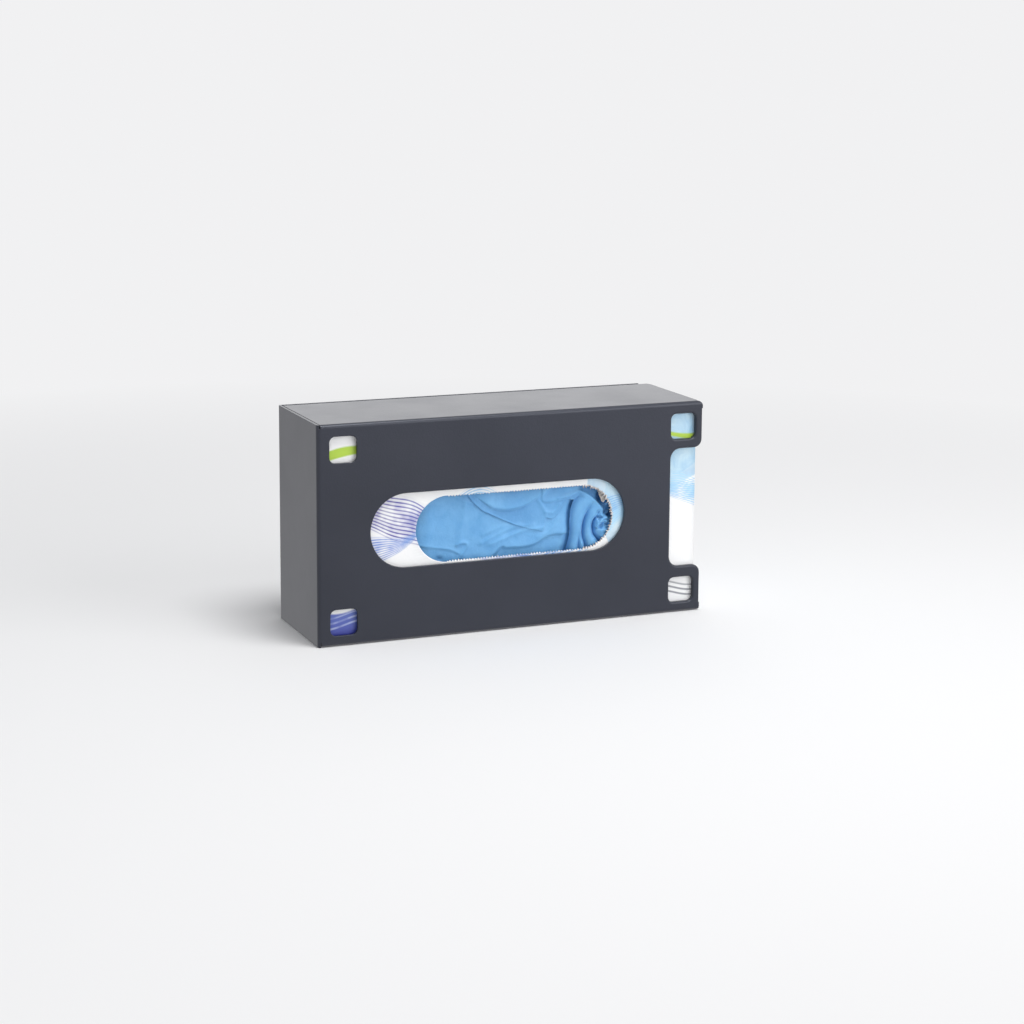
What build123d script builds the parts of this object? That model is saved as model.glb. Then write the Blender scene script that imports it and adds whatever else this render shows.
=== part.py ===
from build123d import *
import math
import os

# Glove dispenser: a folded sheet-steel housing that hangs on a panel with square holes,
# and the carton of disposable gloves that stands in it.
# Origin: centre of the back face, which bears on the panel. X runs along the front, to the
# right as seen from the front, +Y points into the panel and +Z up. All sizes in millimetres.

# Carton, a card tube with glued end flaps
carton_length = 240.0
carton_depth = 68.0
carton_height = 125.0
card = 0.5
card_fold_radius = 0.9
end_flap_margin = 1.2
end_flap_corner_radius = 4.0
glue_flap_width = 14.0

# Tear-out opening in the face of the carton that looks forward
opening_length = 126.0
opening_height = 39.5
opening_from_left = 58.6
opening_from_bottom = 42.2
tooth_pitch = 1.8
tooth_height = 0.8

# Housing, folded round the carton with these gaps
sheet = 1.5
gap_left = 0.4
gap_front = 1.5
gap_back = 1.0
gap_top = 2.0
carton_setback = 3.1
bend_inner_radius = 0.8
seam_gap = 0.6
edge_break = 0.3
rear_flange_height = 12.0
back_wall_setback = 8.0
top_flap_setback = 2.0
top_corner_radius = 3.0
flap_corner_radius = 6.0

# Long slot in the front wall, round the opening of the carton
slot_margin_left = 28.5
slot_margin_right = 7.0
slot_margin_top = 3.8
slot_margin_bottom = 0.7

# Small windows near the corners of the front wall
window_width = 16.5
window_height = 15.5
window_corner_radius = 3.5
window_from_left = 7.4
window_from_right = 4.3
window_from_top = 7.2
window_from_bottom = 6.0

# Grip notch in the right edge of the front wall, between two rounded tabs
notch_reach = 20.8
notch_corner_radius = 6.5
tab_height = 28.5
tab_corner_radius = 5.0

# Turned-in lip round the right-hand windows and the notch
lip_depth = 2.6
lip_radius = 1.2

# Hooks, lanced from the back wall and bent straight back, for a panel of square holes
hole_pitch = 38.0
hole_size = 10.0
hook_columns_apart = 4
hook_rows_apart = 1
hook_pattern_rise = 2.0
panel_thickness = 1.5
panel_play = 0.7
hook_neck_height = 5.0
hook_tip_drop = 4.3
hook_tip_length = 4.0
hook_corner_radius = 1.2
lance_gap = 0.8

# Pile of gloves in the carton
pile_layers = 9
pile_end_gap = 3.5
pile_headroom = 6.0
pile_stagger = 1.4
length_phase = 2.1
height_phase = 1.7
pile_corner_radius = 16.0
pile_edge_radius = 2.2

# Glove under the uppermost one, laid flat with its cuff to the left
glove_thickness = 1.4
cuff_from_left = 6.0
palm_width = 100.0
palm_length = 158.0
palm_corner_radius = 14.0
finger_width = 23.0
finger_length = 66.0
finger_length_step = 5.0
thumb_width = 26.0
thumb_length = 74.0
thumb_angle = -9.0

# Uppermost glove: its cuff edge lies across the opening, its fingers are gathered to the right
top_glove_film = 1.2
top_glove_margin = 16.5
top_glove_from_right = 12.0
top_glove_corner_radius = 22.0
cuff_edge_top_x = 78.0
cuff_edge_middle = (103.0, 68.0)
cuff_edge_end = (140.0, 54.0)
free_edge_low_x = 158.0
cuff_bead_radius = 0.7
cuff_bead_gap = 0.1
ripple_height = 0.5
ripple_pitch = 16.0
folds_past_opening = 0.6
fold_count = 4
fold_height = 1.7
fold_pitch_bottom = 6.5
fold_pitch_top = 9.0
fold_clearance = 0.6

# Overall sizes of the housing
width = sheet + gap_left + carton_length + carton_setback
depth = sheet + gap_front + carton_depth + gap_back + 2 * sheet
height = 2 * sheet + carton_height + gap_top
left = -width / 2
right = width / 2
bottom = -height / 2
top = height / 2
front = -depth
back_inside = -sheet
bend_outer_radius = bend_inner_radius + sheet
front_plane = Plane.XZ.offset(depth)

# Faces of the carton and the middle of its opening
carton_left = left + sheet + gap_left
carton_right = carton_left + carton_length
carton_front = front + sheet + gap_front
carton_back = carton_front + carton_depth
carton_bottom = bottom + sheet
carton_middle = carton_bottom + carton_height / 2
opening_x = carton_left + opening_from_left + opening_length / 2
opening_z = carton_bottom + opening_from_bottom + opening_height / 2

# Sharp folds of the top glove, up to the right end of the opening, and the ripples beside them
first_fold_from_left = (
    opening_from_left + opening_length - folds_past_opening - fold_count * fold_pitch_top
)
near_ripples = math.ceil((first_fold_from_left - cuff_edge_top_x) / ripple_pitch) + 1
far_ripples_start = first_fold_from_left + fold_count * fold_pitch_top
top_glove_end = carton_length - top_glove_from_right
far_ripples = math.ceil((top_glove_end - far_ripples_start) / ripple_pitch)

# Faces of the gloves, counted back from the opening of the carton
top_glove_front = carton_front + card + fold_clearance + fold_height
next_glove_front = top_glove_front + top_glove_film
pile_front = next_glove_front + glove_thickness
pile_back = carton_back - 2 * card


def folded_strip(points, side):
    """Section of a sheet whose outer face follows the points, with a bend at each corner"""
    outer_face = FilletPolyline(*points, radius=bend_outer_radius)
    return make_face(outer_face.offset_2d(sheet, side=side))


def window_places(x):
    """Middles of the upper and the lower window at one place along the front wall"""
    return [
        Pos(x, top - window_from_top - window_height / 2),
        Pos(x, bottom + window_from_bottom + window_height / 2),
    ]


def notched_edge():
    """Right-hand part of the front wall: the grip notch between two rounded tabs"""
    reach = notch_reach + 3 * tab_corner_radius
    outline = Pos(right - reach / 2, 0) * Rectangle(reach, height)
    outline -= Pos(right - notch_reach / 2, 0) * Rectangle(notch_reach, height - 2 * tab_height)
    inner_corners = outline.vertices().group_by(Axis.X)[1]
    outline = fillet(inner_corners, notch_corner_radius)
    tab_corners = [
        corner for corner in outline.vertices().group_by(Axis.X)[-1] if abs(corner.Y) < top - sheet
    ]
    return fillet(tab_corners, tab_corner_radius)


def front_edges(wall, from_x, to_x):
    """Edges of the openings in the front face between two places along X"""
    flat_half = top - bend_outer_radius
    return [
        edge for edge in wall.edges().group_by(Axis.Y)[0]
        if from_x < edge.center().X < to_x and abs(edge.center().Z) < flat_half - edge_break
    ]


def front_wall():
    """Flat of the front wall, with its slot, windows, notch and turned-in lips"""
    window = RectangleRounded(window_width, window_height, window_corner_radius)
    rim = RectangleRounded(
        window_width + 2 * sheet, window_height + 2 * sheet, window_corner_radius + sheet
    )
    right_windows = window_places(right - window_from_right - window_width / 2)
    left_windows = window_places(left + window_from_left + window_width / 2)

    edge_outline = notched_edge()
    notch_void = Pos(right, 0) * Rectangle(2 * notch_reach, height) - edge_outline
    outline = Pos((left + bend_outer_radius + right) / 2, 0) * Rectangle(
        width - bend_outer_radius, height - 2 * bend_outer_radius
    )
    wall = extrude(front_plane * (outline - notch_void), -sheet)

    lip_zone = Pos(right, 0) * Rectangle(
        2 * (notch_reach + sheet), height - 2 * tab_height + 2 * tab_corner_radius
    )
    notch_lip = lip_zone & (edge_outline - offset(edge_outline, -sheet))
    lips = Sketch() + [notch_lip] + [place * rim for place in right_windows]
    wall += extrude(front_plane * lips, -lip_depth)
    for place in right_windows:
        wall -= extrude(front_plane * place * window, -lip_depth)
    lip_start = right - notch_reach - sheet
    wall = fillet(front_edges(wall, lip_start, right + sheet), lip_radius)

    slot_length = slot_margin_left + opening_length + slot_margin_right
    slot_height = slot_margin_bottom + opening_height + slot_margin_top
    slot_x = opening_x + (slot_margin_right - slot_margin_left) / 2
    slot_z = opening_z + (slot_margin_top - slot_margin_bottom) / 2
    slot = Pos(slot_x, slot_z) * SlotOverall(slot_length, slot_height)
    for cut in [slot] + [place * window for place in left_windows]:
        wall -= extrude(front_plane * cut, -sheet)
    plain_edges = front_edges(wall, left + bend_outer_radius, lip_start - lip_radius)
    return fillet(plain_edges, edge_break)


def end_and_back_walls():
    """Left end wall and back wall, folded round from the front wall"""
    section = folded_strip(
        [
            (left + 2 * bend_outer_radius, front),
            (left, front),
            (left, 0),
            (right - back_wall_setback, 0),
        ],
        Side.RIGHT,
    )
    walls = extrude(Plane.XY.offset(bottom) * section, height)
    relief = Pos(left + sheet, front) * Box(
        2 * bend_outer_radius, 2 * bend_outer_radius, bend_outer_radius,
        align=(Align.MIN, Align.CENTER, Align.MAX),
    )
    return walls - Pos(0, 0, top) * relief - Pos(0, 0, bottom + bend_outer_radius) * relief


def flap(setback):
    """Top flap: bend from the front wall, flat, and flange against the back wall"""
    flap_left = left + sheet + seam_gap
    section = folded_strip(
        [
            (front, top - 2 * bend_outer_radius),
            (front, top),
            (back_inside, top),
            (back_inside, top - rear_flange_height),
        ],
        Side.RIGHT,
    )
    folded = extrude(Plane.YZ.offset(flap_left) * section, right - flap_left)

    flat = Pos(flap_left, front) * Rectangle(
        right - setback - flap_left, depth - sheet, align=(Align.MIN, Align.MIN)
    )
    rear_corner = flat.vertices().group_by(Axis.X)[-1].sort_by(Axis.Y)[-1]
    flat = fillet(rear_corner, flap_corner_radius)
    bend = Pos(flap_left, front) * Rectangle(
        right - flap_left, 2 * bend_outer_radius, align=(Align.MIN, Align.MIN)
    )
    return folded & extrude(Plane.XY.offset(bottom) * (flat + bend), height)


def hook():
    """One hook on the middle of its hole, bent back on an upright line, and its window"""
    reach = panel_thickness + panel_play + hook_tip_length
    tip_y = panel_thickness + panel_play
    neck_low = -hole_size / 2
    neck_high = neck_low + hook_neck_height
    tip_low = neck_low - hook_tip_drop
    fin_side = sheet / 2
    root_y = 2 * back_inside
    section = folded_strip(
        [(-4 * bend_outer_radius, back_inside), (fin_side, back_inside), (fin_side, reach)],
        Side.LEFT,
    )
    fin = extrude(Plane.XY.offset(tip_low) * section, neck_high - tip_low)
    profile = make_face(
        Polyline(
            (root_y, neck_low),
            (tip_y, neck_low),
            (tip_y, tip_low),
            (reach, tip_low),
            (reach, neck_high),
            (root_y, neck_high),
            close=True,
        )
    )
    profile = fillet(profile.vertices().group_by(Axis.X)[-1], hook_corner_radius)
    fin &= extrude(Plane.YZ.offset(-width) * profile, 2 * width)
    window = Pos(fin_side - bend_outer_radius, back_inside, tip_low - lance_gap) * Box(
        reach + bend_outer_radius + lance_gap,
        sheet,
        neck_high - tip_low + 2 * lance_gap,
        align=(Align.MIN, Align.MIN, Align.MIN),
    )
    return fin, window


def housing():
    """The folded blank: walls, flaps and hooks in one piece of sheet"""
    body = front_wall() + end_and_back_walls()
    body += flap(top_flap_setback)
    body += mirror(flap(0), Plane.XY)
    fin, window = hook()
    for column in (-0.5, 0.5):
        for row in (-0.5, 0.5):
            place = Pos(
                column * hook_columns_apart * hole_pitch,
                0,
                row * hook_rows_apart * hole_pitch + hook_pattern_rise,
            )
            body = body - place * window + place * fin
    corner = Pos(right - top_corner_radius, top - top_corner_radius)
    outside_corner = corner * Rectangle(
        top_corner_radius, top_corner_radius, align=(Align.MIN, Align.MIN)
    )
    outside_corner -= corner * Circle(top_corner_radius)
    return body - extrude(front_plane * outside_corner, -2 * bend_outer_radius)


def torn_outline():
    """Outline of the tear-out opening, clean at its left end and toothed elsewhere"""
    radius = opening_height / 2
    straight = opening_length - opening_height
    run_steps = 2 * round(straight / tooth_pitch)
    arc_steps = 2 * round(math.pi * radius / tooth_pitch)
    points = []
    for step in range(run_steps):
        x = straight * (step / run_steps - 0.5)
        points.append((x, radius - tooth_height * (step % 2)))
    for step in range(arc_steps):
        angle = math.pi * (0.5 - step / arc_steps)
        reach = radius - tooth_height * (step % 2)
        points.append((straight / 2 + reach * math.cos(angle), reach * math.sin(angle)))
    for step in range(run_steps + 1):
        x = straight * (0.5 - step / run_steps)
        points.append((x, tooth_height * (step % 2) - radius))
    clean_end = ThreePointArc(points[-1], (-opening_length / 2, 0), points[0])
    return make_face([*Polyline(*points).edges(), clean_end])


def glove_carton():
    """Card tube with its glue flap, dust flaps and outer flap at each end, and opening"""
    middle_y = (carton_front + carton_back) / 2
    section_place = Pos(middle_y, carton_middle)
    outside = section_place * RectangleRounded(carton_depth, carton_height, card_fold_radius)
    inside = section_place * RectangleRounded(
        carton_depth - 2 * card, carton_height - 2 * card, card_fold_radius - card
    )
    tube_length = carton_length - 2 * card
    carton = extrude(Plane.YZ.offset(carton_left + card) * (outside - inside), tube_length)
    for x in (carton_left + card, carton_right - 2 * card):
        carton += extrude(Plane.YZ.offset(x) * inside, card)
    end_flap = Pos(middle_y, carton_middle + end_flap_margin / 2) * RectangleRounded(
        carton_depth - 2 * end_flap_margin, carton_height - end_flap_margin, end_flap_corner_radius
    )
    for x in (carton_left, carton_right - card):
        carton += extrude(Plane.YZ.offset(x) * end_flap, card)
    carton += Pos(carton_left + card, carton_back - card, carton_bottom + card) * Box(
        tube_length, card, glue_flap_width, align=(Align.MIN, Align.MAX, Align.MIN)
    )
    opening_plane = Plane.XZ.offset(-carton_front) * Pos(opening_x, opening_z)
    return carton - extrude(opening_plane * torn_outline(), -2 * card)


def glove_stack():
    """The gloves left in the carton: a pile of layers, each a little out of line"""
    pile_x = (carton_left + carton_right) / 2
    full_length = carton_length - 2 * card - 2 * pile_end_gap
    full_height = carton_height - 2 * card - pile_headroom
    layer_thickness = (pile_back - pile_front) / pile_layers
    pile = Part()
    for layer in range(pile_layers):
        length = full_length - pile_stagger * (1 + math.sin(length_phase * layer))
        layer_height = full_height - pile_stagger * (1 + math.cos(height_phase * layer))
        outline = Pos(pile_x, carton_bottom + card + layer_height / 2) * RectangleRounded(
            length, layer_height, pile_corner_radius
        )
        front_y = pile_front + layer * layer_thickness
        slab = extrude(Plane.XZ.offset(-front_y) * outline, -layer_thickness)
        rims = slab.faces().filter_by(Axis.Y).edges()
        pile += fillet(rims, pile_edge_radius)
    return pile


def next_glove():
    """A glove laid flat on the pile: cuff and palm, four fingers and a thumb"""
    cuff_x = carton_left + cuff_from_left
    palm_end = cuff_x + palm_length
    outline = Pos(cuff_x + palm_length / 2, 0) * RectangleRounded(
        palm_length, palm_width, palm_corner_radius
    )
    finger_pitch = (palm_width - finger_width) / 3
    for finger in range(4):
        length = finger_length - finger_length_step * abs(finger - 1)
        finger_z = (finger - 1.5) * finger_pitch
        outline += Pos(palm_end + (length - finger_width) / 2, finger_z) * SlotOverall(
            length + finger_width, finger_width
        )
    thumb_root = Pos(palm_end - thumb_length, (thumb_width - palm_width) / 2)
    thumb = Pos(thumb_length / 2, 0) * SlotOverall(thumb_length, thumb_width)
    outline += thumb_root * Rot(0, 0, thumb_angle) * thumb
    glove_plane = Plane.XZ.offset(-next_glove_front) * Pos(0, carton_middle)
    return extrude(glove_plane * outline, -glove_thickness)


def wave(start, end, waves, crest):
    """Points along waves of the top glove, from its low line to each crest and back"""
    step = (end - start) / (2 * waves)
    return [(start + step * i, top_glove_front - crest * (i % 2)) for i in range(2 * waves)]


def fold_section(z, fold_pitch):
    """Section across the folds: soft ripples, then sharp upright folds, then ripples again"""
    start = carton_left + cuff_edge_top_x - ripple_pitch
    first_fold = carton_left + first_fold_from_left
    last_fold = first_fold + fold_pitch * fold_count
    end = carton_left + top_glove_end
    points = wave(start, first_fold, near_ripples, ripple_height)
    points += wave(first_fold, last_fold, fold_count, fold_height)
    points += wave(last_fold, end, far_ripples, ripple_height)
    points.append((end, top_glove_front))
    crest_line = Spline(*points)
    back_line = Polyline(points[-1], (end, next_glove_front), (start, next_glove_front), points[0])
    return Plane.XY.offset(z) * make_face([crest_line, *back_line.edges()])


def top_glove():
    """The uppermost glove, its folds lofted upwards and its cuff edge rolled to a bead"""
    low = carton_bottom + top_glove_margin
    high = carton_bottom + carton_height - top_glove_margin
    far_x = carton_left + top_glove_end
    folds = loft([fold_section(low, fold_pitch_bottom), fold_section(high, fold_pitch_top)])
    start = (carton_left + cuff_edge_top_x, high)
    middle, end = [
        (carton_left + x, carton_bottom + z) for x, z in (cuff_edge_middle, cuff_edge_end)
    ]
    cuff_edge = ThreePointArc(start, middle, end)
    free_low_end = (carton_left + free_edge_low_x, low)
    other_edges = Polyline(end, free_low_end, (far_x, low), (far_x, high), start)
    outline = make_face([cuff_edge, *other_edges.edges()])
    outline = fillet(outline.vertices().group_by(Axis.X)[-1], top_glove_corner_radius)
    glove_plane = Plane.XZ.offset(-next_glove_front)
    glove = folds & extrude(glove_plane * outline, top_glove_film + 2 * fold_height)

    bead_y = next_glove_front - cuff_bead_gap - cuff_bead_radius
    bead_path = Plane.XZ.offset(-bead_y) * cuff_edge
    bead = sweep((bead_path ^ 0) * Circle(cuff_bead_radius), bead_path)
    return glove + bead


def write_parts():
    """Write each piece to its own file"""
    os.makedirs("parts", exist_ok=True)
    for make_piece in (housing, glove_carton, glove_stack, next_glove, top_glove):
        export_step(make_piece(), f"parts/{make_piece.__name__}.step")


write_parts()
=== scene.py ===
import math
import random

import bmesh
import bpy
import numpy as np
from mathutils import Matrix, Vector, noise


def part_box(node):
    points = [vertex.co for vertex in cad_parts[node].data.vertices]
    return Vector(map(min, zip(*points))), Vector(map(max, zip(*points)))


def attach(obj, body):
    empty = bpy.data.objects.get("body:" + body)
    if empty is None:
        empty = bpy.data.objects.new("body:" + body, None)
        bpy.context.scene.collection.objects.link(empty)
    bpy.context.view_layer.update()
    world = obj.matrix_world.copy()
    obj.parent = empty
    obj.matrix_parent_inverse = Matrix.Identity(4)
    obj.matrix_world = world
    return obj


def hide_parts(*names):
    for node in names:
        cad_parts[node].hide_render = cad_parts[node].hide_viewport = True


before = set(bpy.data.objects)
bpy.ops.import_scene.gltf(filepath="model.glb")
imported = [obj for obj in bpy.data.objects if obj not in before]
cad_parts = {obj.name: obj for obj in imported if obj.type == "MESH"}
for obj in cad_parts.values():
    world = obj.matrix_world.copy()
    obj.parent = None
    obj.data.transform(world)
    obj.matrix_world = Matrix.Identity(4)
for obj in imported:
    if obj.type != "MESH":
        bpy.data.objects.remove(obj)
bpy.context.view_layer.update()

MM = 0.001

# Sizes in mm start at the box's lower left corner, this far left of the frame's middle and below it
HALF_LENGTH = 122.5
HALF_HEIGHT = 65

# Height of the floor that the box stands on, in metres
FLOOR = -0.065

# Plain colour of the floor far off and of the world, as the camera and gloss see them
BACKGROUND = (0.88, 0.88, 0.89, 1)


def in_frame(x, y, z):
    """Place in metres from mm: x and z from the box's lower left corner, y as in the frame"""
    return (x - HALF_LENGTH) * MM, y * MM, (z - HALF_HEIGHT) * MM


def from_corner(vert):
    """x and z of a vertex in mm, from the box's lower left corner"""
    return vert.co.x / MM + HALF_LENGTH, vert.co.z / MM + HALF_HEIGHT


def shade_smooth(piece):
    for face in piece.data.polygons:
        face.use_smooth = True


def add_thickness(piece, thickness, offset):
    """Gives a surface its thickness in mm: on both sides at offset 0, inwards at -1"""
    shell = piece.modifiers.new("thickness", "SOLIDIFY")
    shell.thickness = thickness * MM
    shell.offset = offset
    return shell


def node_tree(name):
    """A new material with its shader, ready for nodes"""
    material = bpy.data.materials.new(name)
    material.use_nodes = True
    nodes = material.node_tree.nodes
    return material, nodes, material.node_tree.links, nodes["Principled BSDF"]


def object_coordinates(nodes, links, scale=(1, 1, 1)):
    """Object coordinates, scaled for a pattern"""
    coordinates = nodes.new("ShaderNodeTexCoord")
    mapping = nodes.new("ShaderNodeMapping")
    mapping.inputs["Scale"].default_value = scale
    links.new(coordinates.outputs["Object"], mapping.inputs["Vector"])
    return mapping.outputs["Vector"]


def noise_texture(nodes, links, vector, scale, detail=3.0, roughness=0.5, distortion=0.0):
    texture = nodes.new("ShaderNodeTexNoise")
    texture.inputs["Scale"].default_value = scale
    texture.inputs["Detail"].default_value = detail
    texture.inputs["Roughness"].default_value = roughness
    texture.inputs["Distortion"].default_value = distortion
    links.new(vector, texture.inputs["Vector"])
    return texture.outputs["Fac"]


def ramp(nodes, links, value, stops):
    """Colours by value, from (place, colour) stops"""
    node = nodes.new("ShaderNodeValToRGB")
    elements = node.color_ramp.elements
    while len(elements) < len(stops):
        elements.new(0.5)
    for element, (place, colour) in zip(elements, stops):
        element.position = place
        element.color = (*colour, 1.0)
    links.new(value, node.inputs["Fac"])
    return node.outputs["Color"]


def value_range(nodes, links, value, low, high, to_low, to_high):
    node = nodes.new("ShaderNodeMapRange")
    node.inputs["From Min"].default_value = low
    node.inputs["From Max"].default_value = high
    node.inputs["To Min"].default_value = to_low
    node.inputs["To Max"].default_value = to_high
    links.new(value, node.inputs["Value"])
    return node.outputs["Result"]


def add_bump(nodes, links, shader, height, distance):
    bump = nodes.new("ShaderNodeBump")
    bump.inputs["Distance"].default_value = distance
    links.new(height, bump.inputs["Height"])
    links.new(bump.outputs["Normal"], shader.inputs["Normal"])
    return bump


def powder_coat():
    """Anthracite powder coat: fine orange peel, faint smudges, built up soft at the cut edges"""
    material, nodes, links, shader = node_tree("anthracite_powder_coat")
    place = object_coordinates(nodes, links)
    tone = noise_texture(nodes, links, place, 14.0, 4.0)
    colour = ramp(nodes, links, tone, [(0.3, (0.020, 0.022, 0.032)), (0.7, (0.026, 0.028, 0.040))])
    links.new(colour, shader.inputs["Base Color"])
    smudge = noise_texture(nodes, links, place, 22.0, 3.0, 0.6)
    links.new(value_range(nodes, links, smudge, 0.35, 0.7, 0.31, 0.35), shader.inputs["Roughness"])
    shader.inputs["Specular Tint"].default_value = (0.86, 0.90, 1.0, 1)
    peel = noise_texture(nodes, links, place, 1100.0, 2.0)
    bump = add_bump(nodes, links, shader, peel, 0.00005)
    round_edge = nodes.new("ShaderNodeBevel")
    round_edge.samples = 6
    round_edge.inputs["Radius"].default_value = 0.0005
    links.new(round_edge.outputs["Normal"], bump.inputs["Normal"])
    return material


def mix_colour(nodes, links, factor, first, second):
    """Second colour over the first by a factor; each is a socket or a fixed colour"""
    mix = nodes.new("ShaderNodeMix")
    mix.data_type = "RGBA"
    links.new(factor, mix.inputs[0])
    for source, socket in ((first, mix.inputs[6]), (second, mix.inputs[7])):
        if isinstance(source, tuple):
            socket.default_value = (*source, 1.0)
        else:
            links.new(source, socket)
    return mix.outputs[2]


def calculate(nodes, links, operation, *values):
    """Math node on sockets and numbers"""
    node = nodes.new("ShaderNodeMath")
    node.operation = operation
    for value, socket in zip(values, node.inputs):
        if isinstance(value, (int, float)):
            socket.default_value = value
        else:
            links.new(value, socket)
    return node.outputs["Value"]


def swell(nodes, links, along, length, height, start, level=0.0):
    """Level line of a sine wave along the carton, in mm, from the angle start"""
    turns = calculate(nodes, links, "MULTIPLY_ADD", along, 2 * math.pi / length, start)
    return calculate(nodes, links, "MULTIPLY_ADD", calculate(nodes, links, "SINE", turns), height, level)


def strands(nodes, links, off, spread, pitch, width):
    """Bundle of fine lines either side of a wave: the lines, and the ribbon that they lie on"""
    fanned = calculate(nodes, links, "DIVIDE", off, spread)
    crest = calculate(nodes, links, "SINE", calculate(nodes, links, "MULTIPLY", fanned, 2 * math.pi / pitch))
    line = value_range(nodes, links, crest, 0.0, 0.8, 0.0, 1.0)
    reach = calculate(nodes, links, "ABSOLUTE", fanned)
    inside = value_range(nodes, links, reach, width - 1.5, width, 1.0, 0.0)
    ribbon = value_range(nodes, links, reach, 0.0, width * 1.1, 1.0, 0.0)
    return calculate(nodes, links, "MULTIPLY", line, inside), ribbon


def carton_print():
    """White coated card with bundles of wave lines in violet and blue, pale swells and a lime band"""
    material, nodes, links, shader = node_tree("coated_carton_print")
    place = object_coordinates(nodes, links)
    in_mm = object_coordinates(nodes, links, scale=(1000, 1000, 1000))
    split = nodes.new("ShaderNodeSeparateXYZ")
    links.new(in_mm, split.inputs["Vector"])
    z = split.outputs["Z"]
    # The waves run on round the right corner and over the end flap
    along = calculate(nodes, links, "ADD", split.outputs["X"],
                      calculate(nodes, links, "ADD", split.outputs["Y"], 72.0))

    def above(level, soft=0.5):
        """1 above a level line, 0 below it"""
        over = calculate(nodes, links, "SUBTRACT", z, level)
        return value_range(nodes, links, over, -soft, soft, 0.0, 1.0)

    def both(first, second):
        return calculate(nodes, links, "MULTIPLY", first, second)

    cloud = noise_texture(nodes, links, place, 38.0, 3.0)
    colour = ramp(nodes, links, cloud, [(0.3, (0.90, 0.905, 0.915)), (0.7, (0.93, 0.93, 0.93))])

    # Pale swells on the right half, one lying over the other
    soft_ink = ramp(nodes, links, noise_texture(nodes, links, place, 70.0, 4.0, 0.6, 0.6),
                    [(0.36, (0.27, 0.53, 0.76)), (0.66, (0.54, 0.75, 0.88))])
    for left, lean, high, length, start in ((47.0, 3.0, 16.0, 58.0, 0.4), (56.0, 2.1, 25.0, 44.0, 2.2)):
        front = calculate(nodes, links, "MULTIPLY_ADD", along, -lean, left * lean + 18.0)
        reached = above(calculate(nodes, links, "ADD", front, swell(nodes, links, z, 21.0, 5.0, start)), 1.0)
        foot = above(swell(nodes, links, along, length, 4.5, start, high))
        inner = value_range(nodes, links, along, 92.0, 93.0, 1.0, 0.0)
        field = both(reached, calculate(nodes, links, "MAXIMUM", foot, inner))
        colour = mix_colour(nodes, links, both(field, 0.7), colour, soft_ink)

    # Two bundles of wave lines that cross, heavy and violet on the left, light and blue on the right
    heavy = noise_texture(nodes, links, place, 95.0, 2.0, 0.5)
    for length, height, start, level, pitch, width, tones in (
        (196.0, 17.0, 4.65, -5.5, 1.7, 10.5, ((0.075, 0.06, 0.36), (0.10, 0.17, 0.60), (0.22, 0.47, 0.80))),
        (128.0, 13.0, 2.75, 1.0, 1.25, 7.0, ((0.13, 0.24, 0.66), (0.30, 0.58, 0.86), (0.42, 0.70, 0.90))),
    ):
        off = calculate(nodes, links, "SUBTRACT", z, swell(nodes, links, along, length, height, start, level))
        ripple = swell(nodes, links, along, 31.0, 0.9, start)
        spread = swell(nodes, links, along, length * 0.55, 0.5, start + 1.0, 0.85)
        rippled = calculate(nodes, links, "ADD", off, ripple)
        line, ribbon = strands(nodes, links, rippled, spread, pitch, width)
        ink = ramp(nodes, links, value_range(nodes, links, along, -95.0, 70.0, 0.0, 1.0),
                   [(0.1, tones[0]), (0.4, tones[1]), (0.9, tones[2])])
        strength = value_range(nodes, links, heavy, 0.35, 0.6, 0.55, 1.0)
        veil = both(ribbon, value_range(nodes, links, heavy, 0.40, 0.62, 0.05, 0.75))
        colour = mix_colour(nodes, links, veil, colour, ink)
        colour = mix_colour(nodes, links, both(line, strength), colour, ink)

    # Deep blue water line low on the left, lime band high up, grey hairlines low on the right
    deep = ramp(nodes, links, value_range(nodes, links, z, -60.0, -42.0, 0.0, 1.0),
                [(0.0, (0.05, 0.06, 0.34)), (1.0, (0.15, 0.22, 0.62))])
    water = above(swell(nodes, links, along, 47.0, 2.2, 0.6, -44.5))
    low_left = both(calculate(nodes, links, "SUBTRACT", 1.0, water),
                    value_range(nodes, links, along, -70.0, -30.0, 1.0, 0.0))
    colour = mix_colour(nodes, links, low_left, colour, deep)
    off = calculate(nodes, links, "SUBTRACT", z, swell(nodes, links, along, 47.0, 2.2, 1.5, -51.0))
    hairline, _ = strands(nodes, links, off, 1.0, 3.1, 5.0)
    outer_left = value_range(nodes, links, along, -70.0, -60.0, 1.0, 0.0)
    patchy = both(outer_left, value_range(nodes, links, heavy, 0.4, 0.5, 0.2, 0.5))
    colour = mix_colour(nodes, links, both(hairline, patchy), colour, (0.66, 0.74, 0.90))
    outer_right = value_range(nodes, links, along, 92.0, 96.0, 0.0, 1.0)
    colour = mix_colour(nodes, links, both(hairline, outer_right), colour, (0.30, 0.31, 0.34))
    band = swell(nodes, links, along, 88.0, 3.2, 1.9, 43.5)
    lime = both(above(band), calculate(nodes, links, "SUBTRACT", 1.0, above(
        calculate(nodes, links, "ADD", band, swell(nodes, links, along, 61.0, 1.6, 0.3, 4.2)))))
    colour = mix_colour(nodes, links, lime, colour, (0.46, 0.66, 0.07))

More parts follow.
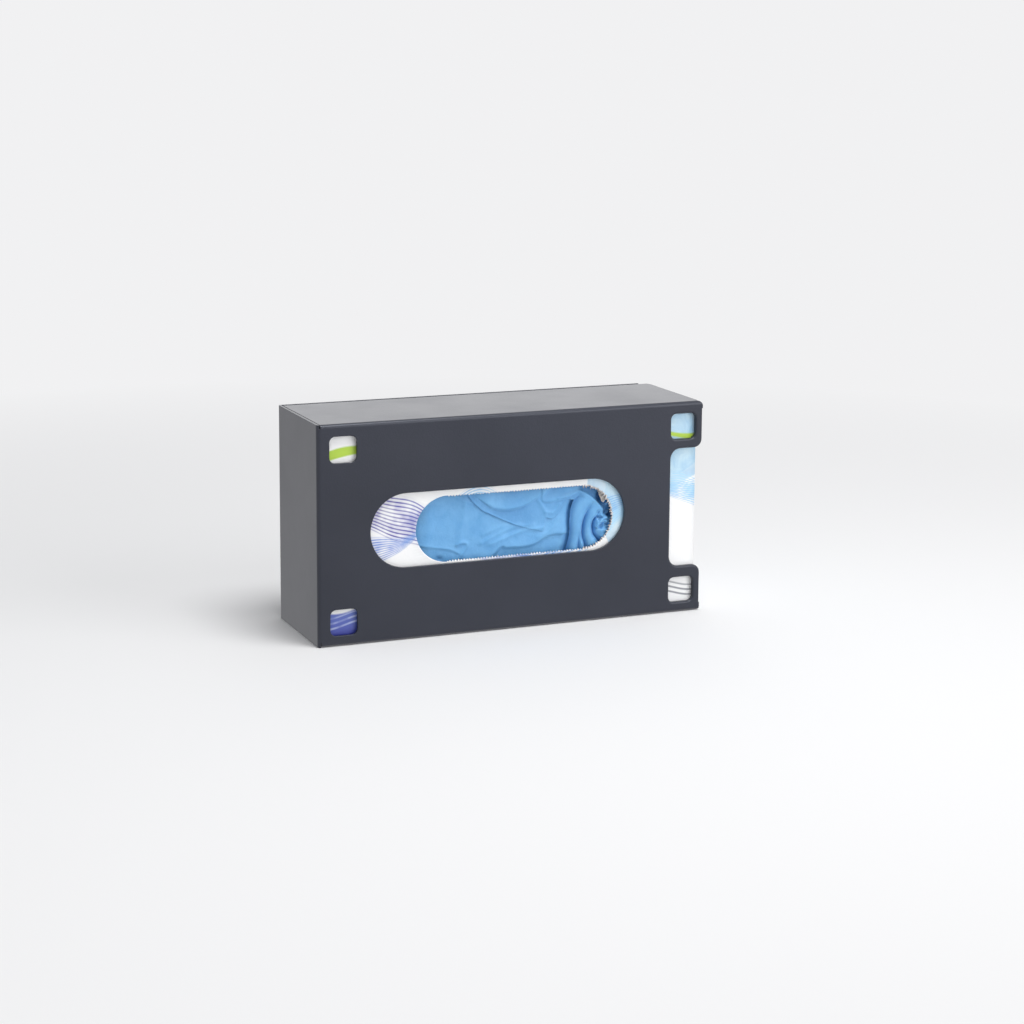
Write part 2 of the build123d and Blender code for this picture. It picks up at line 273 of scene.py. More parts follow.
    # Grey board shows where the card is torn
    torn = nodes.new("ShaderNodeAttribute")
    torn.attribute_name = "torn"
    fibre = noise_texture(nodes, links, place, 900.0, 3.0, 0.7)
    board = ramp(nodes, links, fibre, [(0.38, (0.30, 0.25, 0.23)), (0.60, (0.84, 0.80, 0.78))])
    bare = value_range(nodes, links, calculate(nodes, links, "MULTIPLY_ADD", fibre, 0.5, torn.outputs["Fac"]),
                       0.62, 0.78, 0.0, 1.0)
    colour = mix_colour(nodes, links, bare, colour, board)
    links.new(colour, shader.inputs["Base Color"])
    shader.inputs["Roughness"].default_value = 0.34
    grain_height = noise_texture(nodes, links, place, 500.0, 3.0)
    add_bump(nodes, links, shader, grain_height, 0.00005)
    return material


def grey_board():
    """Unprinted inside of the card and its torn rim"""
    material, nodes, links, shader = node_tree("grey_board")
    place = object_coordinates(nodes, links)
    fibre = noise_texture(nodes, links, place, 700.0, 4.0, 0.6)
    colour = ramp(nodes, links, fibre, [(0.3, (0.36, 0.34, 0.32)), (0.7, (0.58, 0.56, 0.53))])
    links.new(colour, shader.inputs["Base Color"])
    shader.inputs["Roughness"].default_value = 0.85
    add_bump(nodes, links, shader, fibre, 0.0001)
    return material


def nitrile_film():
    """Thin blue nitrile: matte, mottled where the film is thicker, with painted shade that makes the blue
    darker down in the folds
    """
    material, nodes, links, shader = node_tree("blue_nitrile_film")
    place = object_coordinates(nodes, links)
    tone = noise_texture(nodes, links, place, 120.0, 5.0, 0.6, 0.4)
    colour = ramp(nodes, links, tone, [(0.3, (0.115, 0.36, 0.72)), (0.7, (0.165, 0.44, 0.80))])
    # Painted shade: a darker, deeper blue is mixed in by the "deep" value, where the film lies back in the
    # folds
    deep = nodes.new("ShaderNodeAttribute")
    deep.attribute_name = "deep"
    colour = mix_colour(nodes, links, deep.outputs["Fac"], colour, (0.02, 0.14, 0.42))
    links.new(colour, shader.inputs["Base Color"])
    shader.inputs["Roughness"].default_value = 0.5
    shader.inputs["Subsurface Weight"].default_value = 0.12
    shader.inputs["Subsurface Radius"].default_value = (0.4, 0.7, 1.0)
    shader.inputs["Subsurface Scale"].default_value = 0.001
    shader.inputs["Sheen Weight"].default_value = 0.15
    crease = noise_texture(nodes, links, place, 420.0, 4.0, 0.65, 0.6)
    add_bump(nodes, links, shader, crease, 0.00018)
    return material


def pale_floor():
    """Pale floor that keeps the shadow near the box and turns into the plain background"""
    material, nodes, links, shader = node_tree("pale_floor")
    shader.inputs["Base Color"].default_value = (0.84, 0.84, 0.845, 1)
    shader.inputs["Roughness"].default_value = 0.9
    shader.inputs["Specular IOR Level"].default_value = 0.1
    place = object_coordinates(nodes, links, scale=(1, 1, 0))
    length = nodes.new("ShaderNodeVectorMath")
    length.operation = "LENGTH"
    links.new(place, length.inputs[0])
    far = value_range(nodes, links, length.outputs["Value"], 0.25, 0.9, 0.0, 1.0)
    path = nodes.new("ShaderNodeLightPath")
    glossy = path.outputs["Is Glossy Ray"]
    seen = calculate(nodes, links, "MAXIMUM", path.outputs["Is Camera Ray"], glossy)
    plain = nodes.new("ShaderNodeEmission")
    plain.inputs["Color"].default_value = BACKGROUND
    far = calculate(nodes, links, "MAXIMUM", far, glossy)
    mix = nodes.new("ShaderNodeMixShader")
    links.new(calculate(nodes, links, "MULTIPLY", far, seen), mix.inputs["Fac"])
    links.new(shader.outputs["BSDF"], mix.inputs[1])
    links.new(plain.outputs["Emission"], mix.inputs[2])
    links.new(mix.outputs["Shader"], nodes["Material Output"].inputs["Surface"])
    return material


def add_object(name, mesh, *materials):
    """Object at the origin from a finished bmesh"""
    data = bpy.data.meshes.new(name)
    mesh.to_mesh(data)
    mesh.free()
    piece = bpy.data.objects.new(name, data)
    for material in materials:
        piece.data.materials.append(material)
    bpy.context.collection.objects.link(piece)
    return piece


def add_light(name, place, aim, size, power):
    """Round soft lamp at a place, turned to its aim; metres and watts"""
    lamp = bpy.data.lights.new(name, "AREA")
    lamp.shape = "DISK"
    lamp.size = size
    lamp.energy = power
    light = bpy.data.objects.new(name, lamp)
    light.location = place
    direction = Vector(aim) - Vector(place)
    light.rotation_euler = direction.to_track_quat("-Z", "Y").to_euler()
    bpy.context.collection.objects.link(light)


def add_camera():
    """Camera a little above the box and to its left, as the photograph was taken"""
    camera = bpy.data.cameras.new("camera")
    camera.lens = 81.89
    camera.sensor_width = 36
    camera.shift_y = -0.1094
    camera.clip_end = 100
    view = bpy.data.objects.new("camera", camera)
    view.location = (-0.5219, -1.3137, 0.2969)
    view.rotation_euler = [math.radians(angle) for angle in (80.524, -0.379, -22.668)]
    bpy.context.collection.objects.link(view)
    bpy.context.scene.camera = view


def add_floor():
    mesh = bmesh.new()
    bmesh.ops.create_grid(mesh, x_segments=1, y_segments=1, size=20.0)
    bmesh.ops.translate(mesh, verts=mesh.verts, vec=(0, 0, FLOOR - 0.0003))
    add_object("floor", mesh, pale_floor())


def light_scene():
    """Soft light all round, a broad lamp at the front right, one overhead and one behind the box"""
    world = bpy.data.worlds.new("studio")
    world.use_nodes = True
    nodes, links = world.node_tree.nodes, world.node_tree.links
    light = nodes["Background"]
    light.inputs["Color"].default_value = (0.97, 0.98, 1.0, 1)
    light.inputs["Strength"].default_value = 0.42
    plain = nodes.new("ShaderNodeBackground")
    plain.inputs["Color"].default_value = BACKGROUND
    path = nodes.new("ShaderNodeLightPath")
    mix = nodes.new("ShaderNodeMixShader")
    seen = calculate(nodes, links, "MAXIMUM", path.outputs["Is Camera Ray"], path.outputs["Is Glossy Ray"])
    links.new(seen, mix.inputs["Fac"])
    links.new(light.outputs["Background"], mix.inputs[1])
    links.new(plain.outputs["Background"], mix.inputs[2])
    links.new(mix.outputs["Shader"], nodes["World Output"].inputs["Surface"])
    bpy.context.scene.world = world
    add_light("key", (1.05, -1.4, 0.62), (0.02, -0.07, 0), 1.4, 13)
    add_light("overhead", (0.1, -0.55, 1.45), (0, -0.06, 0), 0.8, 15)
    add_light("back", (0.5, 1.2, 0.5), (0, -0.04, 0.1), 1.2, 2.5)


def near_line(points, x, z):
    """Distance from a broken line, and which side: positive to the left of its direction"""
    nearest, side = None, 1.0
    for (x1, z1), (x2, z2) in zip(points, points[1:]):
        run_x, run_z = x2 - x1, z2 - z1
        along = ((x - x1) * run_x + (z - z1) * run_z) / (run_x * run_x + run_z * run_z)
        along = np.clip(along, 0, 1)
        off_x, off_z = x - x1 - along * run_x, z - z1 - along * run_z
        distance = np.hypot(off_x, off_z)
        turn = np.sign(run_x * off_z - run_z * off_x)
        if nearest is None:
            nearest, side = distance, turn
        else:
            closer = distance < nearest
            nearest = np.where(closer, distance, nearest)
            side = np.where(closer, turn, side)
    return nearest, side


def smooth_line(points, pieces=8):
    """More points on a smooth curve through the given ones"""
    dense = []
    padded = [points[0], *points, points[-1]]
    for a, b, c, d in zip(padded, padded[1:], padded[2:], padded[3:]):
        for step in range(pieces):
            t = step / pieces
            dense.append(tuple(
                0.5 * (2 * q + (r - p) * t + (2 * p - 5 * q + 4 * r - s) * t * t
                       + (3 * q - p - 3 * r + s) * t ** 3)
                for p, q, r, s in zip(a, b, c, d)
            ))
    return [*dense, points[-1]]


def within(points, x, z):
    """Whether each place lies inside a closed outline"""
    inside = np.zeros(x.shape, bool)
    for (x1, z1), (x2, z2) in zip(points, [*points[1:], points[0]]):
        if z1 != z2:
            crosses = (z1 > z) != (z2 > z)
            inside ^= crosses & (x < x1 + (z - z1) * (x2 - x1) / (z2 - z1))
    return inside


def ridge(x, z, points, height, width):
    """Soft raised crease along a line"""
    distance, _ = near_line(smooth_line(points), x, z)
    return height * np.exp(-((distance / width) ** 1.6))


def step_up(x, z, points, height, reach, sharp):
    """Fold whose film is raised on the left of the line and falls away sharply across it"""
    distance, side = near_line(smooth_line(points), x, z)
    rise = 0.5 + 0.5 * np.tanh(side * distance / sharp)
    return height * rise * np.exp(-((distance / reach) ** 1.4))


def grain(x, z, size, seed, stretch=1.0, turn=0.0):
    """Smooth noise between -1 and 1 with features of about the given size"""
    turned = math.radians(turn)
    along = (x * math.cos(turned) + z * math.sin(turned)) / (size * stretch)
    across = (z * math.cos(turned) - x * math.sin(turned)) / size
    return np.array([
        noise.noise(Vector((a, b, seed))) for a, b in zip(along.ravel(), across.ravel())
    ]).reshape(x.shape)


# Painted shade in the folds: how far behind the crests a film is at its darkest painted blue, in mm, and how
# strong that painted shade is
FOLD_SHADE_DEPTH = 2.6
FOLD_SHADE_STRENGTH = 0.85


def film_sheet(name, low, high, cell, height, keep, crest, thickness, material):
    """A film laid over a field of heights, in mm from the box's lower left corner, cut by keep"""
    mesh = bmesh.new()
    columns = round((high[0] - low[0]) / cell)
    rows = round((high[1] - low[1]) / cell)
    bmesh.ops.create_grid(mesh, x_segments=columns, y_segments=rows, size=0.5)
    x = np.array([low[0] + (vert.co.x + 0.5) * (high[0] - low[0]) for vert in mesh.verts])
    z = np.array([low[1] + (vert.co.y + 0.5) * (high[1] - low[1]) for vert in mesh.verts])
    y = height(x, z)
    stays = keep(x, z)
    # Painted shade: each vertex's "deep" value grows with how far it lies behind the crest, and darkens the
    # film's blue in the folds
    deep = mesh.verts.layers.float.new("deep")
    for vert, place_x, place_y, place_z in zip(mesh.verts, x, y, z):
        vert.co = in_frame(place_x, place_y, place_z)
        vert[deep] = min(max((place_y - crest) / FOLD_SHADE_DEPTH, 0), 1) ** 1.3 * FOLD_SHADE_STRENGTH
    loose = [vert for vert, stay in zip(mesh.verts, stays) if not stay]
    bmesh.ops.delete(mesh, geom=loose, context="VERTS")
    bmesh.ops.recalc_face_normals(mesh, faces=mesh.faces)
    piece = add_object(name, mesh, material)
    shade_smooth(piece)
    add_thickness(piece, thickness, 0)
    return piece


# Carton in mm from the lower left corner of the box
CARTON_LOW = (1.9, 1.5)
CARTON_LENGTH = 240
CARTON_HEIGHT = 125
CARTON_HIGH = (CARTON_LOW[0] + CARTON_LENGTH, CARTON_LOW[1] + CARTON_HEIGHT)
CARTON_MIDDLE = (CARTON_LOW[0] + CARTON_LENGTH / 2, CARTON_LOW[1] + CARTON_HEIGHT / 2)
CARTON_FRONT = -72.0
CARTON_BACK = -4.0
FLAP_THICKNESS = 0.45
OPENING_CENTRE = (123.5, 63.45)
OPENING_LENGTH = 126.0
OPENING_HEIGHT = 39.5


def crown(x, z):
    """How far the face of the carton bulges: 1 mm at its middle, nothing at its edges"""
    across = 1 - abs(2 * (x - CARTON_MIDDLE[0]) / CARTON_LENGTH) ** 2.2
    up = 1 - abs(2 * (z - CARTON_MIDDLE[1]) / CARTON_HEIGHT) ** 2.2
    return max(across, 0) * max(up, 0)


def stadium_point(along, grow):
    """Point on the outline of the opening, from 0 to 1 clockwise from its upper left end"""
    radius = OPENING_HEIGHT / 2
    straight = OPENING_LENGTH - OPENING_HEIGHT
    arc = math.pi * radius
    place = along * 2 * (straight + arc)
    reach = radius + grow
    if place < straight:
        point, part = (place - straight / 2, reach), "top"
    elif place < straight + arc:
        angle = math.pi / 2 - (place - straight) / radius
        point, part = (straight / 2 + reach * math.cos(angle), reach * math.sin(angle)), "right"
    elif place < 2 * straight + arc:
        point, part = (straight / 2 - (place - straight - arc), -reach), "bottom"
    else:
        angle = -math.pi / 2 - (place - 2 * straight - arc) / radius
        point, part = (reach * math.cos(angle) - straight / 2, reach * math.sin(angle)), "left"
    return (OPENING_CENTRE[0] + point[0], OPENING_CENTRE[1] + point[1]), part


def carton_vert(mesh, place, depth=CARTON_FRONT):
    x, z = place
    return mesh.verts.new(in_frame(x, depth, z))


def carton_face(mesh, torn):
    """Face of the carton: rings round the toothed edge of the opening, joined out to the carton's edges"""
    chance = random.Random(7)
    teeth = 166
    steps = 4 * teeth
    low_x, high_x = CARTON_LOW[0] - OPENING_CENTRE[0], CARTON_HIGH[0] - OPENING_CENTRE[0]
    low_z, high_z = CARTON_LOW[1] + 0.9 - OPENING_CENTRE[1], CARTON_HIGH[1] - 0.9 - OPENING_CENTRE[1]
    rough = {"top": 0.8, "bottom": 1.15, "right": 1.2, "left": 0.0}
    bare = {"top": 0.30, "bottom": 0.30, "right": 1.0, "left": 0.15}
    inner, rim, outer = [], [], []
    for step in range(steps):
        along = step / steps
        (_, high), part = stadium_point(along, 0)
        tooth = (0.0, 0.55, 1.0, 0.55)[step % 4]
        size = rough[part] * tooth * chance.uniform(0.6, 1.25)
        upper_right = part == "right" and high > CARTON_MIDDLE[1]
        if part == "right":
            size += (0.8 if upper_right else 0.4) * abs(chance.gauss(0, 1))
        place, _ = stadium_point(along, 0.1 - size)
        inner.append(carton_vert(mesh, place, CARTON_FRONT - 0.3 * tooth * chance.random()))
        inner[-1][torn] = bare[part]
        place, _ = stadium_point(along, 0.6 + (0.5 * chance.random() if upper_right else 0))
        rim.append(carton_vert(mesh, place))
        reach_x, reach_z = place[0] - OPENING_CENTRE[0], place[1] - OPENING_CENTRE[1]
        fit = min(
            (high_x if reach_x > 0 else low_x) / (reach_x or 1e-6),
            (high_z if reach_z > 0 else low_z) / (reach_z or 1e-6),
        )
        edge = (OPENING_CENTRE[0] + fit * reach_x, OPENING_CENTRE[1] + fit * reach_z)
        outer.append(carton_vert(mesh, edge))
    loops = [
        [mesh.edges.new((a, b)) for a, b in zip(ring, [*ring[1:], ring[0]])]
        for ring in (inner, rim, outer)
    ]
    bmesh.ops.bridge_loops(mesh, edges=loops[0] + loops[1])
    before = set(mesh.edges)
    bmesh.ops.bridge_loops(mesh, edges=loops[1] + loops[2])
    spokes = [edge for edge in mesh.edges if edge not in before]
    bmesh.ops.subdivide_edges(mesh, edges=spokes, cuts=9, use_grid_fill=True)


def end_flap(mesh, x, outward):
    """Glued end flap, a flat plate of card, free at its rounded lower corners"""
    middle_y = (CARTON_FRONT + CARTON_BACK) / 2
    half_depth = (CARTON_BACK - CARTON_FRONT) / 2 - 1.2
    low, high = CARTON_LOW[1] + 1.2, CARTON_HIGH[1] - 0.3
    made = bmesh.ops.create_grid(mesh, x_segments=1, y_segments=1, size=1.0)
    flap = made["verts"]
    for vert in flap:
        side_y, side_z = vert.co.x, vert.co.y
        vert.co = in_frame(x, middle_y + side_y * half_depth, (low + high) / 2 + side_z * (high - low) / 2)
    corners = [vert for vert in flap if vert.co.z < 0]
    bmesh.ops.bevel(
        mesh, geom=corners, offset=4 * MM, affect="VERTICES", segments=6, profile=0.5, material=-1
    )
    place_x, _, _ = in_frame(x, 0, 0)
    faces = [face for face in mesh.faces if all(abs(vert.co.x - place_x) < 1e-7 for vert in face.verts)]
    raised = bmesh.ops.extrude_face_region(mesh, geom=faces)
    moved = [item for item in raised["geom"] if isinstance(item, bmesh.types.BMVert)]
    bmesh.ops.translate(mesh, verts=moved, vec=(outward * FLAP_THICKNESS * MM, 0, 0))


def torn_tongue(mesh):
    """Scrap of card left hanging at the upper right of the opening, its grey side out"""
    outline = [(177.6, 79.8), (181, 78.6), (184.4, 76.4), (186.6, 73.6), (184.4, 72.9), (182.4, 73.2),
               (180.9, 71.3), (179.6, 72.3), (178.9, 74.4), (178.0, 76.2)]
    face = mesh.faces.new([carton_vert(mesh, place, -71.9) for place in outline])
    bmesh.ops.triangulate(mesh, faces=[face])
    for _ in range(3):
        bmesh.ops.subdivide_edges(mesh, edges=mesh.edges, cuts=1, use_grid_fill=True)
    for vert in mesh.verts:
        x, z = from_corner(vert)
        rag_x, rag_z = (noise.noise(Vector((x * 1.3, z * 1.3, seed))) for seed in (2.0, 9.0))
        vert.co += Vector((rag_x, 0, rag_z)) * 0.35 * MM
        vert.co.y += (0.12 * (184.5 - x) + 0.25 * noise.noise(Vector((x * 0.5, z * 0.5, 4.0)))) * MM


def add_carton():
    """The printed carton: crowned face, folded tube and glued end flaps"""
    mesh = bmesh.new()
    torn = mesh.verts.layers.float.new("torn")
    carton_face(mesh, torn)
    for vert in mesh.verts:
        vert.co.y -= crown(*from_corner(vert)) * MM
    face_verts = set(mesh.verts)

    made = bmesh.ops.create_cube(mesh, size=1.0)
    tube = made["verts"]
    size = (CARTON_LENGTH - 0.5, CARTON_BACK - CARTON_FRONT, CARTON_HEIGHT)
    bmesh.ops.scale(mesh, verts=tube, vec=[length * MM for length in size])
    centre = in_frame(CARTON_MIDDLE[0], (CARTON_BACK + CARTON_FRONT) / 2, CARTON_MIDDLE[1])
    bmesh.ops.translate(mesh, verts=tube, vec=centre)
    folds = [
        edge for edge in mesh.edges
        if edge.verts[0] not in face_verts and abs(edge.verts[0].co.x - edge.verts[1].co.x) > 0.1
    ]
    bmesh.ops.bevel(
        mesh, geom=folds, offset=0.9 * MM, affect="EDGES", segments=4, profile=0.5, material=-1
    )
    front = [
        face for face in mesh.faces
        if not any(vert in face_verts for vert in face.verts)
        and face.normal.y < -0.99 and face.calc_area() > 0.01
    ]
    bmesh.ops.delete(mesh, geom=front, context="FACES_ONLY")
    bmesh.ops.recalc_face_normals(mesh, faces=mesh.faces)
    print_card, board = carton_print(), grey_board()
    carton = add_object("printed_carton", mesh, print_card, board)
    shade_smooth(carton)
    shell = add_thickness(carton, 0.5, -1)
    shell.material_offset = 1
    shell.material_offset_rim = 1

    mesh = bmesh.new()
    end_flap(mesh, CARTON_LOW[0] + FLAP_THICKNESS, -1)
    end_flap(mesh, CARTON_HIGH[0] - FLAP_THICKNESS, 1)
    bmesh.ops.recalc_face_normals(mesh, faces=mesh.faces)
    flaps = add_object("carton_end_flaps", mesh, print_card)

    mesh = bmesh.new()
    torn_tongue(mesh)
    bmesh.ops.recalc_face_normals(mesh, faces=mesh.faces)
    tongue = add_object("torn_card_tongue", mesh, board)
    shade_smooth(tongue)
    add_thickness(tongue, 0.35, 0)
    for piece in (carton, flaps, tongue):
        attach(piece, "root")
    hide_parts("glove_carton")


# Edges and folds of the gloves, in mm from the lower left corner of the box. A fold's depth and width
# are given by height, from its foot up
CUFF_EDGE = [(86, 96), (94.5, 80.5), (102, 72.5), (108, 69), (119, 63.5), (129, 59.5), (142, 56)]
FLAP_END = [(143.2, 58.5), (143.6, 61.5), (144, 64.4), (145.5, 63.7), (148, 63), (150, 64.1),
            (152.5, 66.7), (155, 70.7), (158.5, 74.3), (162.3, 73.6)]
VALLEYS = [
    {"line": [(166.5, 79), (165.9, 76.4), (163.4, 74.2), (161.6, 71.2), (160.4, 67.2), (160, 63.2),
              (159.9, 59.2), (160, 55.2), (159.6, 51.2), (158.6, 47.2), (157.6, 43.2), (156.9, 36)],
     "depth": [(36, 3.3), (50, 3.2), (60, 3.0), (71, 2.6), (75, 2.5), (77.5, 1.2), (79, 0)],
     "width": [(36, 2.2), (50, 1.6), (60, 1.4), (70, 2.2), (76, 3.2)]},
    {"line": [(166.6, 55), (166.1, 50), (165.9, 46), (165.9, 36)],
     "depth": [(36, 2.8), (46, 2.4), (52, 0.9), (55, 0)], "width": [(36, 1.4), (55, 0.9)]},
    {"line": [(175, 72.5), (173.9, 70.2), (172.2, 67.2), (170.7, 63.7), (169.5, 60.2), (168.8, 56.2),
              (168.7, 52.2), (169.2, 49.2), (170.2, 45.7), (171.4, 36)],
     "depth": [(36, 2.8), (47, 3.1), (57, 3.6), (63, 3.0), (68, 1.8), (72.5, 0)],
     "width": [(36, 1.2), (57, 1.3), (64, 1.5), (72, 2.4)]},
    {"line": [(179.4, 67), (177.9, 63.2), (176.2, 60.7), (175.4, 58.2), (175.3, 55.2), (175.8, 52.2),
              (177.4, 50), (179.1, 47.7), (181, 44), (184, 36)],
     "depth": [(36, 3.4), (50, 3.4), (57, 3.8), (61, 3.2), (64.5, 1.8), (67, 0)],
     "width": [(36, 1.2), (57, 1.4), (66, 0.9)]},
    {"line": [(178.5, 46), (176, 44), (173.5, 42.5), (171, 36)],
     "depth": [(36, 2.4), (44.5, 1.8), (46, 0)], "width": [(36, 1.3), (46, 1.0)]},
]
EDGE_OF_FINGERS = [(158, 84), (163.7, 80.6), (166.7, 79.4), (169.7, 78.1), (172.7, 76.1), (175.7, 73.6),
                   (178.2, 71.1), (180.2, 69.1), (181.7, 67.1), (183.2, 63.1), (189, 61)]

# The part of the under film that is made, and the nearest that the gathered fingers come to the card
UNDER_LOW, UNDER_HIGH = (10, 16), (166, 110)
FOREMOST = -71.2


def first_valley(z):
    """Where the first deep fold runs at a height"""
    rounded = smooth_line(VALLEYS[0]["line"])[::-1]
    return np.interp(z, [p[1] for p in rounded], [p[0] for p in rounded])


def common_swell(x, z):
    """Broad unevenness of the pile, which shows through every film"""
    return 0.55 * grain(x, z, 26, 3.1) + 0.32 * grain(x, z, 11, 7.7, 1.8, 30)


def under_height(x, z):
    """The glove laid under the cuff: smooth, with low wrinkles that fan out from the cuff's corner"""
    rise = common_swell(x, z) + 0.13 * grain(x, z, 4.5, 1.9, 1.5, -25)
    rise += ridge(x, z, [(142, 58.7), (131, 57.8), (120, 54.8), (108, 51)], 0.55, 1.6)
    rise += ridge(x, z, [(136, 61), (124, 60.2), (113, 56.6), (103, 52)], 0.45, 1.5)
    rise += ridge(x, z, [(127, 62), (116, 61), (104, 57)], 0.35, 1.4)
    rise += ridge(x, z, [(92.5, 78), (92, 69), (90, 61), (89.5, 55)], 0.55, 2.6)
    rise += ridge(x, z, [(66, 78), (70, 66), (68, 54)], 0.35, 3.0)
    rise += ridge(x, z, [(92, 75), (97, 77.5), (101, 80)], 0.45, 1.2)
    rise += ridge(x, z, [(84, 84), (90, 79.5), (97, 77)], 0.4, 1.0)
    rise += step_up(x, z, [(108, 41), (111.3, 44.8), (115.8, 48.8), (118.3, 48), (126.3, 47.6), (135.3, 48.3),
                           (140.3, 50.3), (144.3, 52.5), (150, 53.6), (156, 53.4)], 1.5, 7, 0.6)
    rise += step_up(x, z, [(58, 54.6), (64.3, 53.3), (74.3, 51.3), (82.3, 49.8), (87.3, 47.8),
                           (90.5, 44)], 0.4, 4, 0.6)
    rise += ridge(x, z, [(60, 54.3), (74.3, 51.6), (82.3, 50.1), (88, 47.6)], 0.35, 0.7)
    rise += ridge(x, z, [(87.5, 52.2), (90, 53.4), (93.4, 52.8), (93.4, 50.6), (91.6, 48),
                         (88.8, 44)], 0.75, 0.9)
    rise += ridge(x, z, [(140, 53), (147, 57), (152, 63)], 0.5, 2.0)
    rise -= 0.9 * np.exp(-(((x - 76.5) / 2.2) ** 2) - ((z - 44.5) / 1.6) ** 2)
    rise -= 1.6 * np.clip((72 - x) / 12, 0, 1) ** 2
    fall = np.clip((x - first_valley(z) + 6) / 5, 0, 1)
    return -68.8 - rise * (1 - 0.8 * fall ** 3) + 2.3 * fall ** 2.2


def flap_height(x, z):
    """The cuff lying over it, with folds that hang in curves from the top edge of the opening"""
    rise = 0.16 * grain(x, z, 9, 2.2, 2.0, -20) + 0.08 * grain(x, z, 4.0, 8.4, 1.6, 20)
    rise += step_up(x, z, [(107, 74.6), (110, 72.6), (117, 71.1), (124, 71.3), (132, 73.6), (140, 77.7),
                           (147, 82)], 1.7, 6, 0.9)
    rise += step_up(x, z, [(141, 79.5), (141.3, 75.6), (142.5, 74.3), (146, 73.8), (152, 74.2), (158, 76)],
                    0.9, 4.5, 0.5)
    rise += ridge(x, z, [(152, 75.6), (159, 76.8), (163.5, 78.6), (169, 79.6)], 0.75, 1.0)
    rise += ridge(x, z, [(139, 76), (143.5, 68), (144, 60)], 0.45, 1.3)
    rise += ridge(x, z, [(144, 68), (149, 67.5), (153, 72)], 0.5, 1.2)
    rise += ridge(x, z, [(146, 86), (157, 81.5), (168, 82)], 0.5, 1.8)
    rise += ridge(x, z, [(94.5, 81.3), (102, 73.3), (108, 69.8), (119, 64.3), (129, 60.3),
                         (141, 57)], 0.22, 0.55)
    return -69.4 - common_swell(x, z) - rise


def gathered_height(x, z):
    """The fingers of the uppermost glove: deep upright folds that end in a crumpled bunch"""
    surface = -70.75 + 1.0 * ((x - 173) / 14) ** 2
    for valley in VALLEYS:
        distance, _ = near_line(smooth_line(valley["line"]), x, z)
        depth = np.interp(z, *zip(*valley["depth"]))
        width = np.interp(z, *zip(*valley["width"]))
        surface = surface + depth * np.exp(-((distance / width) ** 1.15))
    surface -= 0.3 * grain(x, z, 7, 5.3, 3.0, 78) + 0.12 * grain(x, z, 3, 8.1, 2.5, 75)

    bunch = np.exp(-(((x - 182.5) / 5.5) ** 4) - ((z - 59.5) / 5.5) ** 4)
    folds = 1 - 2.4 * np.abs(grain(x, z, 3.4, 4.4)) - 1.2 * np.abs(grain(x, z, 1.7, 6.1))
    surface += bunch * (1.3 - 1.8 * folds)
    for line, height in (
        ([(177.3, 56.2), (180.2, 60), (184, 61.8), (189, 61.5)], 1.3),
        ([(177.5, 63.5), (182, 63.4), (187, 66)], 1.0),
        ([(179.2, 54.4), (183, 53.8), (188, 56.8)], 1.1),
        ([(183.4, 59.4), (185.2, 57.6), (188, 59)], 0.8),
    ):
        surface -= ridge(x, z, line, height, 0.9)
    surface -= 1.5 * np.exp(-(((x - 183) / 3.6) ** 2) - ((z - 49.5) / 3.4) ** 2)

    edge, side = near_line(smooth_line(EDGE_OF_FINGERS), x, z)
    beyond = 0.5 + 0.5 * np.tanh(side * edge / 0.35)
    pocket = 3.2 * np.exp(-(((x - 181) / 2.8) ** 2) - ((z - 74.5) / 3.4) ** 2)
    lobe = 1.5 * np.exp(-(((x - 185) / 1.8) ** 2) - ((z - 70.4) / 1.7) ** 2)
    surface += beyond * (2.1 + pocket - lobe)
    return np.maximum(surface, FOREMOST)


def laid_on(flap, film, gap=0.4, sharp=6):
    """The flap, kept a gap in front of the film under it by a soft minimum"""
    return -np.logaddexp(-sharp * flap, -sharp * (film - gap)) / sharp


def upper_height(x, z):
    """The uppermost glove: its cuff up to the first deep fold, and its gathered fingers beyond"""
    blend = np.clip((x - first_valley(z) + 1.5) / 3.0, 0, 1)
    blend = blend * blend * (3 - 2 * blend)
    flap = laid_on(flap_height(x, z), under_height(x, z))
    return (1 - blend) * flap + blend * gathered_height(x, z)


def under_outline(x, z):
    """Whether a place is on the under film"""
    return (x > UNDER_LOW[0]) & (x < UNDER_HIGH[0]) & (z > UNDER_LOW[1]) & (z < UNDER_HIGH[1])


def upper_outline(x, z):
    """Whether a place is on the uppermost glove, right of the cuff's edge and the first fold"""
    down = [point for point in smooth_line(VALLEYS[0]["line"]) if point[1] < 72]
    return within([*smooth_line(CUFF_EDGE), *FLAP_END, *down, (156.9, 30), (200, 30), (200, 96)], x, z)


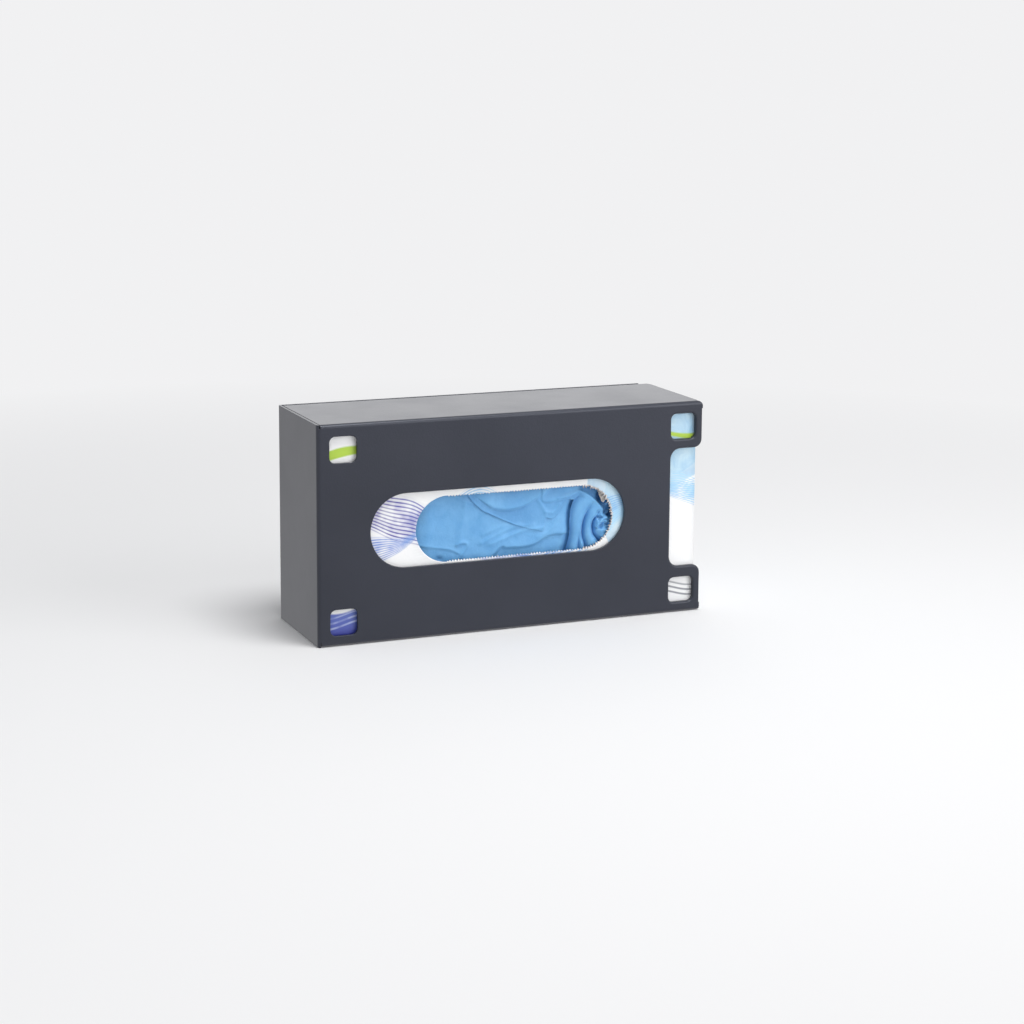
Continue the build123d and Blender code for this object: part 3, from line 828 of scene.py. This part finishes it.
def glove_pile(material):
    """The folded gloves behind: a slack block of layers, each edge a little in or out"""
    low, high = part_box("glove_stack")
    size = [b - a for a, b in zip(low, high)]
    centre = [(a + b) / 2 for a, b in zip(low, high)]
    mesh = bmesh.new()
    bmesh.ops.create_cube(mesh, size=1.0)
    for axis, cuts in ((0, 59), (1, 95), (2, 31)):
        edges = [e for e in mesh.edges if abs(e.verts[0].co[axis] - e.verts[1].co[axis]) > 0.5]
        bmesh.ops.subdivide_edges(mesh, edges=edges, cuts=cuts, use_grid_fill=True)
    for vert in mesh.verts:
        x, y, z = vert.co * 2
        corner = max(0, abs(x) ** 6 + abs(z) ** 6 - 1)
        slack = 1 - 0.045 * corner
        layer = (vert.co.y + 0.5) * 24
        uneven = noise.noise(Vector((math.floor(layer + 0.5) * 1.7, x * 2, z * 2)))
        rim = 0.5 * math.cos(2 * math.pi * layer) + 0.7 * uneven
        at_rim = max(abs(x), abs(z)) > 0.999
        inset = (0.6 + 0.5 * rim) * MM if at_rim else 0
        depth = 1.2 * MM * (0.5 + 0.5 * noise.noise(Vector((x * 3, z * 2, 5.0)))) * (y < -0.999)
        vert.co = (
            centre[0] + x * slack * (size[0] / 2 - inset),
            centre[1] + y * (size[1] / 2) + depth + 1.9 * MM * (y < -0.999),
            centre[2] + z * slack * (size[2] / 2 - inset),
        )
    bmesh.ops.recalc_face_normals(mesh, faces=mesh.faces)
    pile = add_object("glove_pile", mesh, material)
    shade_smooth(pile)
    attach(pile, "root")
    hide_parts("glove_stack")


def dress(node, material):
    """Gives a solid of the frame its finish"""
    piece = bpy.data.objects[node]
    piece.data.materials.clear()
    piece.data.materials.append(material)


bpy.context.scene.view_settings.view_transform = "Standard"
add_camera()
add_floor()
light_scene()

dress("housing", powder_coat())
add_carton()
film = nitrile_film()
glove_pile(film)
under = film_sheet("under_glove", (8, 14), (200, 112), 0.6, under_height, under_outline, -68.7, 0.12, film)
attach(under, "root")
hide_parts("next_glove")
upper = film_sheet("upper_glove", (86, 38), (198, 90), 0.4, upper_height, upper_outline, -70.1, 0.14, film)
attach(upper, "root")
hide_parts("top_glove")
